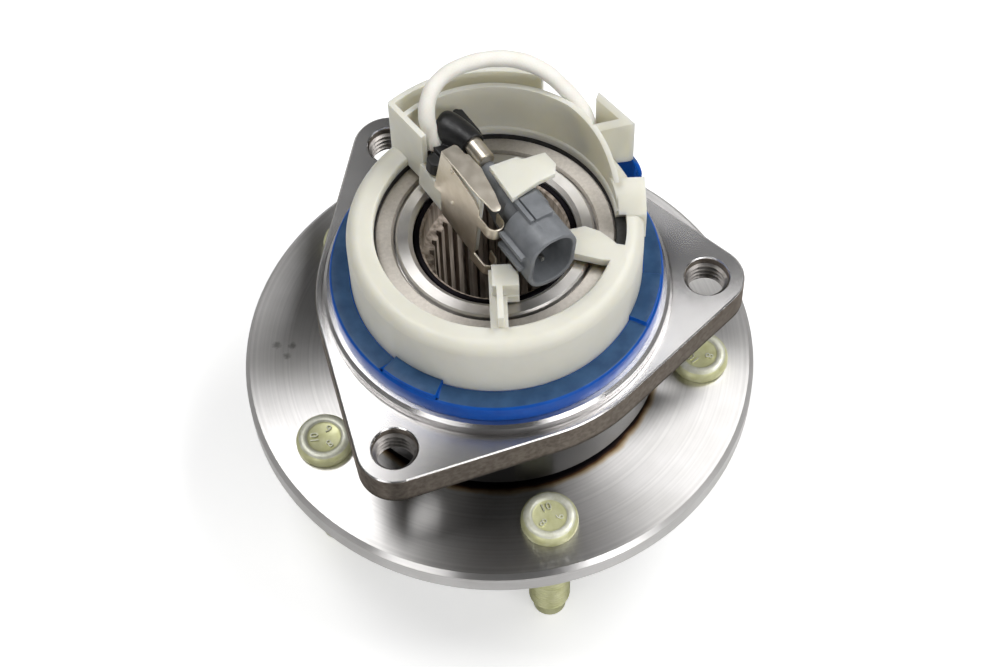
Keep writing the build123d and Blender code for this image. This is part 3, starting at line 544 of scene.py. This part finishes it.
# Sharp clean ridges with a trace of cutting oil; their colour is darker than the cut steel outside, painted shade of
# the holes they sit in.
surface.inputs["Metallic"].default_value = 1.0
tree.links.new(mottled(tree, place, 2.0, "7d7976", "989490"), surface.inputs["Base Color"])
worn_gloss(tree, place, surface, 0.8, 0.36, 0.42)
fine_grain(tree, place, surface, 0.3, 0.01)
knuckle_pitch = 1.75
knuckle_crest_r = 5.15
# the ridge is rooted a little inside the wall of the hole
knuckle_root_r = mount_hole_r + 0.05
ridge = thread_ridge(
    "knuckle_thread_1",
    ((knuckle_root_r, 32.1), (knuckle_crest_r, 32.6), (knuckle_crest_r, 32.75), (knuckle_root_r, 33.25)),
    knuckle_pitch, turns=4, steps=40,
)
smooth_shade(ridge, 32)
ridge.data.materials.append(tapped_steel)
ridge_shape = ridge.data.copy()
for index in range(ear_count):
    copy = ridge
    if index:
        copy = bpy.data.objects.new(f"knuckle_thread_{index + 1}", ridge_shape.copy())
        scene.collection.objects.link(copy)
    azimuth = math.radians(index * 360 / ear_count)
    set_down(copy, Matrix.Translation(Vector((math.cos(azimuth), math.sin(azimuth), 0)) * mount_circle_r * MM))
    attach(copy, "housing")

# ==== Ball rows, cages and seals ==============================================
# Two rows of fourteen balls between the races, each row in its snap-in cage, closed by a
# rubber-lipped seal at each end, with a stainless slinger in front of the outboard one.
ground_steel, tree, surface, place = start_finish("ground_bearing_steel")
# Through-hardened chromium steel, ground almost to a mirror.
surface.inputs["Anisotropic"].default_value = 0.9
*_, ring_bump = lathe_cut(tree, place, surface, feed=0.7, depth=0.003)
tree.links.new(ring_bump, surface.inputs["Normal"])
tree.links.new(mottled(tree, place, 6.0, "cfccc8", "dcd9d6"), surface.inputs["Base Color"])
worn_gloss(tree, place, surface, 4.0, 0.28, 0.33)
finish_node("inner_race", ground_steel)

ball_steel, tree, surface, place = start_finish("lapped_ball_steel")
# Lapped balls, the smoothest surface of the unit, under a film of grease.
surface.inputs["Metallic"].default_value = 1.0
tree.links.new(mottled(tree, place, 3.0, "cbc9c6", "dcdad8"), surface.inputs["Base Color"])
worn_gloss(tree, place, surface, 2.0, 0.08, 0.16)
fine_grain(tree, place, surface, 1.5, 0.002)
finish_node("outboard_balls", ball_steel)
finish_node("inboard_balls", ball_steel)

cage_polyamide, tree, surface, place = start_finish("glass_filled_polyamide_cage")
# Tan injection-moulded cages; short glass fibres give a dull, faintly mottled skin.
tree.links.new(mottled(tree, place, 1.2, "6d5a44", "8f7a60"), surface.inputs["Base Color"])
worn_gloss(tree, place, surface, 1.0, 0.45, 0.6)
fine_grain(tree, place, surface, 0.4, 0.01)
finish_node("outboard_cage", cage_polyamide)
finish_node("inboard_cage", cage_polyamide)

nitrile, tree, surface, place = start_finish("moulded_nitrile_rubber")
# Black oil-proof rubber, matt and a little shiny where it was handled.
tree.links.new(mottled(tree, place, 1.5, "161616", "262524"), surface.inputs["Base Color"])
worn_gloss(tree, place, surface, 1.2, 0.42, 0.62)
fine_grain(tree, place, surface, 0.35, 0.02)
for name in ("outboard_seal_lip", "inboard_seal_lip", "cover_gasket"):
    finish_node(name, nitrile)

stainless_sheet, tree, surface, place = start_finish("drawn_stainless_sheet")
# Deep-drawn sheet, spun on its die: satin rings and fine flecks.
surface.inputs["Anisotropic"].default_value = 0.8
*_, ring_bump = lathe_cut(tree, place, surface, feed=0.9, depth=0.002)
tree.links.new(ring_bump, surface.inputs["Normal"])
tree.links.new(mottled(tree, place, 0.8, "bab4ac", "c6c0b8"), surface.inputs["Base Color"])
worn_gloss(tree, place, surface, 1.2, 0.46, 0.49)
for name in ("outboard_slinger", "outboard_seal_case", "inboard_seal_case", "end_cover"):
    finish_node(name, stainless_sheet)

# ==== Wheel-speed sensor inside the cap =======================================
# A toothed tone ring turns inside a toothed pole ring; the coil round them picks up the pulses.
sintered_iron, tree, surface, place = start_finish("sintered_soft_iron")
# Pressed powder: dark grey, dull and finely porous.
surface.inputs["Metallic"].default_value = 1.0
tree.links.new(mottled(tree, place, 1.0, "57534f", "7a7570"), surface.inputs["Base Color"])
worn_gloss(tree, place, surface, 0.8, 0.5, 0.65)
fine_grain(tree, place, surface, 0.25, 0.03)
finish_node("tone_ring", sintered_iron)
finish_node("pole_ring", sintered_iron)

copper_winding, tree, surface, place = start_finish("enamelled_copper_winding")
# Hundreds of turns of fine wire, drawn here as 0.4 mm wires so that the turns can be seen.
surface.inputs["Metallic"].default_value = 1.0
surface.inputs["Roughness"].default_value = 0.3
tree.links.new(mottled(tree, place, 2.0, "9a4e22", "c8743c"), surface.inputs["Base Color"])
wire_size = 0.4
height = add_node(tree, "ShaderNodeSeparateXYZ", links={0: place}).outputs["Z"]
turn_phase = add_node(tree, "ShaderNodeMath", {1: math.tau / (wire_size * MM)}, {0: height}, operation="MULTIPLY")
wires = add_node(tree, "ShaderNodeMath", links={0: turn_phase.outputs[0]}, operation="SINE")
wire_bump = add_node(tree, "ShaderNodeBump", {"Strength": 1.0, "Distance": 0.08 * MM}, {"Height": wires.outputs[0]})
tree.links.new(wire_bump.outputs[0], surface.inputs["Normal"])
finish_node("sensor_coil", copper_winding)

black_former, tree, surface, place = start_finish("black_polyamide_former")
# Plain moulded bobbin, slightly glossy.
tree.links.new(mottled(tree, place, 2.5, "1a1a1a", "242424"), surface.inputs["Base Color"])
worn_gloss(tree, place, surface, 2.0, 0.35, 0.5)
fine_grain(tree, place, surface, 0.4, 0.01)
finish_node("coil_former", black_former)

# ==== Locating ring ===========================================================
# Blue acetal ring that centres the sensor cap on the nose of the outer ring, with three snap tabs.
# Its edges are rounded by the mould; its flat top carries a slate-grey painted reflection, its other faces a deeper
# blue.


def moulded_copy(node_name, piece_name, edge_round, crisp=False):
    """A CAD solid as one closed mesh, its sharp edges rounded by that many millimetres; a crisp one
    keeps the rounding within what its shortest edges leave room for."""
    piece = bpy.data.objects.new(piece_name, nodes[node_name].data.copy())
    scene.collection.objects.link(piece)
    piece.data.materials.clear()
    bpy.ops.object.select_all(action="DESELECT")
    piece.select_set(True)
    bpy.context.view_layer.objects.active = piece
    bpy.ops.object.mode_set(mode="EDIT")
    bpy.ops.mesh.select_all(action="SELECT")
    bpy.ops.mesh.remove_doubles(threshold=0.001 * MM)
    bpy.ops.mesh.dissolve_limited(angle_limit=math.radians(0.6))
    if not crisp:
        bpy.ops.mesh.quads_convert_to_tris(quad_method="BEAUTY", ngon_method="BEAUTY")
    bpy.ops.object.mode_set(mode="OBJECT")
    easing = piece.modifiers.new("rounded_edges", "BEVEL")
    easing.width = edge_round * MM
    easing.segments = 3
    easing.use_clamp_overlap = crisp
    easing.limit_method = "ANGLE"
    easing.angle_limit = math.radians(34)
    bpy.ops.object.modifier_apply(modifier="rounded_edges")
    smooth_shade(piece, 40)
    return piece


acetal, tree, surface, place = start_finish("blue_moulded_acetal")
# A slick, dense plastic that lets a little light in; faces turned up are painted greyish, a painted reflection of
# the light above.
surface.inputs["IOR"].default_value = 1.48
surface.inputs["Subsurface Weight"].default_value = 0.08
surface.inputs["Specular IOR Level"].default_value = 0.25
surface.inputs["Subsurface Radius"].default_value = (0.2, 0.5, 1.0)
surface.inputs["Subsurface Scale"].default_value = 0.8 * MM
worn_gloss(tree, place, surface, 3.0, 0.3, 0.42)
fine_grain(tree, place, surface, 0.8, 0.012)
facing = add_node(tree, "ShaderNodeNewGeometry").outputs["Normal"]
facing_up = add_node(tree, "ShaderNodeSeparateXYZ", links={0: facing}).outputs["Z"]
painted_reflection_on_top = add_node(tree, "ShaderNodeMapRange", {"From Min": 0.86, "From Max": 0.98}, {"Value": facing_up})
# slate-grey on faces turned up is painted reflection; deeper blue elsewhere
top_reflection_tint = mottled(tree, place, 5.0, "2c4b70", "395a80")
side_blue_tint = mottled(tree, place, 4.0, "004eac", "0056b8")
blue = add_node(tree, "ShaderNodeMix", links={0: painted_reflection_on_top.outputs[0], 6: side_blue_tint, 7: top_reflection_tint}, data_type="RGBA")
tree.links.new(blue.outputs[2], surface.inputs["Base Color"])
locating_ring = moulded_copy("locating_ring", "blue_locating_ring", 0.35)
locating_ring.data.materials.append(acetal)
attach(locating_ring, "housing")
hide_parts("locating_ring")

# ==== Sensor cap ==============================================================
# Natural nylon cap over the sensor: a ring with a wiring channel, a lead pocket and the cradle
# that carries the connector in transit. One moulding, all its edges rounded.
nylon, tree, surface, place = start_finish("natural_moulded_nylon")
# Milky, slightly yellow and translucent; satin, with faint cloudy flow marks.
surface.inputs["IOR"].default_value = 1.53
surface.inputs["Subsurface Weight"].default_value = 0.7
surface.inputs["Subsurface Radius"].default_value = (1.0, 0.9, 0.65)
surface.inputs["Subsurface Scale"].default_value = 3.5 * MM
tree.links.new(mottled(tree, place, 16.0, "dad8cb", "e2e0d5", 0.3, 0.7), surface.inputs["Base Color"])
worn_gloss(tree, place, surface, 5.0, 0.38, 0.5)
fine_grain(tree, place, surface, 1.1, 0.02)
sensor_cap = moulded_copy("sensor_carrier", "nylon_sensor_cap", 0.25, crisp=True)
sensor_cap.data.materials.append(nylon)
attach(sensor_cap, "housing")
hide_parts("sensor_carrier")

# ==== Connector ===============================================================
# Grey polyester two-way connector with an oval shroud, a latch block and guide rails.
# It is clipped in the cradle until the unit is fitted.
grey_polyester, tree, surface, place = start_finish("grey_moulded_polyester")
# Glass-filled and satin, with the fine spark-eroded grain of its mould.
surface.inputs["IOR"].default_value = 1.57
tree.links.new(mottled(tree, place, 3.5, "6c6f73", "7b7e82"), surface.inputs["Base Color"])
worn_gloss(tree, place, surface, 1.5, 0.42, 0.55)
fine_grain(tree, place, surface, 0.35, 0.012)
connector = moulded_copy("connector_body", "grey_connector", 0.2)
connector.data.materials.append(grey_polyester)
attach(connector, "housing")
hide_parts("connector_body")

tinned_brass, tree, surface, place = start_finish("tinned_brass_blade")
# Bright tin, soft-looking and a little uneven.
surface.inputs["Metallic"].default_value = 1.0
tree.links.new(mottled(tree, place, 0.8, "b9b7b0", "d6d4cd"), surface.inputs["Base Color"])
worn_gloss(tree, place, surface, 0.6, 0.25, 0.4)
fine_grain(tree, place, surface, 0.3, 0.006)
finish_node("terminals", tinned_brass)

# ==== Crimp sleeve and spring clip ============================================
# A drawn nickel-plated sleeve over the joint of lead and connector, and a bent strip of plated
# spring steel that grips the connector and the cradle's finger.
nickel, tree, surface, place = start_finish("nickel_plated_spring_steel")
# Warm silver and softly glossy, with the faint grain of the strip under the plating.
surface.inputs["Metallic"].default_value = 1.0
tree.links.new(mottled(tree, place, 3.0, "e4dac9", "efe6d7"), surface.inputs["Base Color"])
worn_gloss(tree, place, surface, 3.0, 0.34, 0.4)
fine_grain(tree, place, surface, 0.7, 0.003)
clip = moulded_copy("spring_clip", "nickel_spring_clip", 0.12)
# two small lances pressed out of its side plate, each half sunk in it
plate_out = Vector((-0.851, -0.511, 0.122))
lance_size = Matrix.Diagonal((0.6 * MM, 0.9 * MM, 0.6 * MM, 1))
lances = []
for lance_place in ((-10.49, 4.22, 88.78), (-10.83, 2.13, 77.64)):
    bpy.ops.mesh.primitive_uv_sphere_add(segments=24, ring_count=12, radius=1.0)
    lance = bpy.context.object
    lance_turn = plate_out.to_track_quat("Z", "Y").to_matrix().to_4x4()
    set_down(lance, Matrix.Translation(Vector(lance_place) * MM) @ lance_turn @ lance_size)
    lances.append(lance)
clip = join_pieces(clip, lances)
smooth_shade(clip, 40)
clip.data.materials.clear()
clip.data.materials.append(nickel)
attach(clip, "housing")
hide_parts("spring_clip")
finish_node("crimp_sleeve", nickel)

# ==== Rubber boot =============================================================
# Black moulded boot where the lead enters the connector: a soft bent barrel, a wing and a lobe.
boot_rubber, tree, surface, place = start_finish("moulded_boot_rubber")
# Soft black rubber with a trace of silky sheen.
surface.inputs["Sheen Weight"].default_value = 0.06
surface.inputs["Sheen Roughness"].default_value = 0.4
tree.links.new(mottled(tree, place, 1.4, "0b0b0c", "151516"), surface.inputs["Base Color"])
worn_gloss(tree, place, surface, 1.2, 0.36, 0.52)
fine_grain(tree, place, surface, 0.5, 0.03)
boot = moulded_copy("rubber_boot", "rubber_lead_boot", 0.1)
soften = boot.modifiers.new("one_skin", "REMESH")
soften.mode = "VOXEL"
soften.voxel_size = 0.2 * MM
bpy.ops.object.modifier_apply(modifier="one_skin")
relax = boot.modifiers.new("soft_moulding", "SMOOTH")
relax.factor = 0.5
relax.iterations = 8
bpy.ops.object.modifier_apply(modifier="soft_moulding")
boot.data.materials.clear()
boot.data.materials.append(boot_rubber)
smooth_shade(boot, 60)
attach(boot, "housing")
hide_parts("rubber_boot")

# ==== Signal lead =============================================================
# Two fine wires in a white woven sleeve, stiff enough to stand in an arch from the hole in the cap
# to the boot. A tube is laid along the solid's own route, one smooth spline, and mapped for its weave.
lead_r = 2.2
# distance from the bearing axis, azimuth in degrees and height
lead_route = (
    (36.6, 43.5, 67.45), (36.6, 43.5, 75.5), (36.6, 45.0, 81.0), (36.6, 50.0, 84.8), (36.6, 57.0, 88.0),
    (36.7, 64.5, 91.5), (36.7, 73.5, 93.9), (36.2, 84.5, 95.1), (35.2, 97.5, 95.2), (34.1, 109.5, 94.2),
    (32.0, 119.0, 92.2), (29.2, 125.2, 89.0), (26.9, 127.4, 84.4), (24.68, 126.3, 79.05),
)
lead_curve = bpy.data.curves.new("lead_line", "CURVE")
lead_curve.dimensions = "3D"
lead_spline = lead_curve.splines.new("NURBS")
lead_spline.points.add(len(lead_route) - 1)
for point, (r, azimuth_deg, z) in zip(lead_spline.points, lead_route):
    azimuth = math.radians(azimuth_deg)
    point.co = (r * math.cos(azimuth) * MM, r * math.sin(azimuth) * MM, z * MM, 1)
lead_spline.order_u = 3
lead_spline.use_endpoint_u = True
lead_spline.resolution_u = 16
lead_line = bpy.data.objects.new("lead_line", lead_curve)
scene.collection.objects.link(lead_line)
line_mesh = bpy.data.meshes.new_from_object(lead_line.evaluated_get(bpy.context.evaluated_depsgraph_get()))
stops = [vertex.co.copy() for vertex in line_mesh.vertices]
bpy.data.objects.remove(lead_line)

sleeve_sides = 32
# mean thickness of the sleeve as a share of the solid's, so that its swells stay close to it
sleeve_fit = 0.95
lead_mesh = bmesh.new()
weave_map = lead_mesh.loops.layers.uv.new("weave")
side = Vector((0, 0, 1))
rings = []
run = 0.0
for index, stop in enumerate(stops):
    ahead = stops[min(index + 1, len(stops) - 1)] - stops[max(index - 1, 0)]
    ahead.normalize()
    if abs(side.dot(ahead)) < 0.99:
        side = (side - ahead * side.dot(ahead)).normalized()
    else:
        side = ahead.orthogonal().normalized()
    other = ahead.cross(side)
    if index:
        run += (stop - stops[index - 1]).length
    # slack sleeving swells and narrows softly along its run, and is a little oval
    swell = 1 + 0.018 * math.sin(run / (1.1 * MM)) + 0.03 * math.sin(run / (5.7 * MM) + 1.0)
    ring = []
    for step in range(sleeve_sides):
        turn = math.tau * step / sleeve_sides
        oval = 1 + 0.05 * math.cos(2 * turn)
        reach = lead_r * MM * swell * oval
        outward = side * math.cos(turn) + other * math.sin(turn)
        ring.append(lead_mesh.verts.new(stop + outward * reach * sleeve_fit))
    rings.append((run, ring))
for (run_a, ring_a), (run_b, ring_b) in zip(rings, rings[1:]):
    for step in range(sleeve_sides):
        after = (step + 1) % sleeve_sides
        face = lead_mesh.faces.new((ring_a[step], ring_a[after], ring_b[after], ring_b[step]))
        face.smooth = True
        around = (step, step + 1, step + 1, step)
        for loop, turn_step, distance in zip(face.loops, around, (run_a, run_a, run_b, run_b)):
            loop[weave_map].uv = (turn_step / sleeve_sides, distance / (math.tau * lead_r * MM))
for ring in (rings[0][1], rings[-1][1]):
    lead_mesh.faces.new(ring)
bmesh.ops.recalc_face_normals(lead_mesh, faces=lead_mesh.faces)
lead_shape = bpy.data.meshes.new("woven_lead")
lead_mesh.to_mesh(lead_shape)
lead = bpy.data.objects.new("woven_lead", lead_shape)
scene.collection.objects.link(lead)

woven_sleeve, tree, surface, place = start_finish("white_woven_sleeving")
# Braided glass yarn with a soft coating: white and matt. The crossing yarns lie 1.15 mm apart round
# the sleeve, coarser than the real ones, so that they show.
surface.inputs["Sheen Weight"].default_value = 0.2
surface.inputs["Subsurface Weight"].default_value = 0.1
surface.inputs["Subsurface Scale"].default_value = 0.5 * MM
yarn_count = 12
weave = add_node(tree, "ShaderNodeUVMap", uv_map="weave")
axes = add_node(tree, "ShaderNodeSeparateXYZ", links={0: weave.outputs[0]})
yarns = []
for lay in (1, -1):
    lean = add_node(
        tree, "ShaderNodeMath", {1: lay}, {0: axes.outputs["Y"], 2: axes.outputs["X"]}, operation="MULTIPLY_ADD"
    )
    phase = add_node(tree, "ShaderNodeMath", {1: math.tau * yarn_count}, {0: lean.outputs[0]}, operation="MULTIPLY")
    yarns.append(add_node(tree, "ShaderNodeMath", links={0: phase.outputs[0]}, operation="SINE").outputs[0])
crossing = add_node(tree, "ShaderNodeMath", links={0: yarns[0], 1: yarns[1]}, operation="MAXIMUM")
yarn_height = add_node(tree, "ShaderNodeMapRange", {"From Min": -1.0}, {"Value": crossing.outputs[0]})
yarn_bump = add_node(
    tree, "ShaderNodeBump", {"Strength": 1.0, "Distance": 0.012 * MM}, {"Height": yarn_height.outputs[0]}
)
tree.links.new(yarn_bump.outputs[0], surface.inputs["Normal"])
yarn_shade = add_node(tree, "ShaderNodeMapRange", {"To Min": 0.97, "To Max": 1.0}, {"Value": yarn_height.outputs[0]})
yarn_tint = add_node(
    tree, "ShaderNodeMix", {0: 1.0}, {6: mottled(tree, place, 6.0, "efece2", "f6f4ee"), 7: yarn_shade.outputs[0]},
    data_type="RGBA", blend_type="MULTIPLY",
)
tree.links.new(yarn_tint.outputs[2], surface.inputs["Base Color"])
worn_gloss(tree, place, surface, 1.0, 0.6, 0.8)
lead.data.materials.append(woven_sleeve)
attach(lead, "housing")
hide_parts("signal_lead")
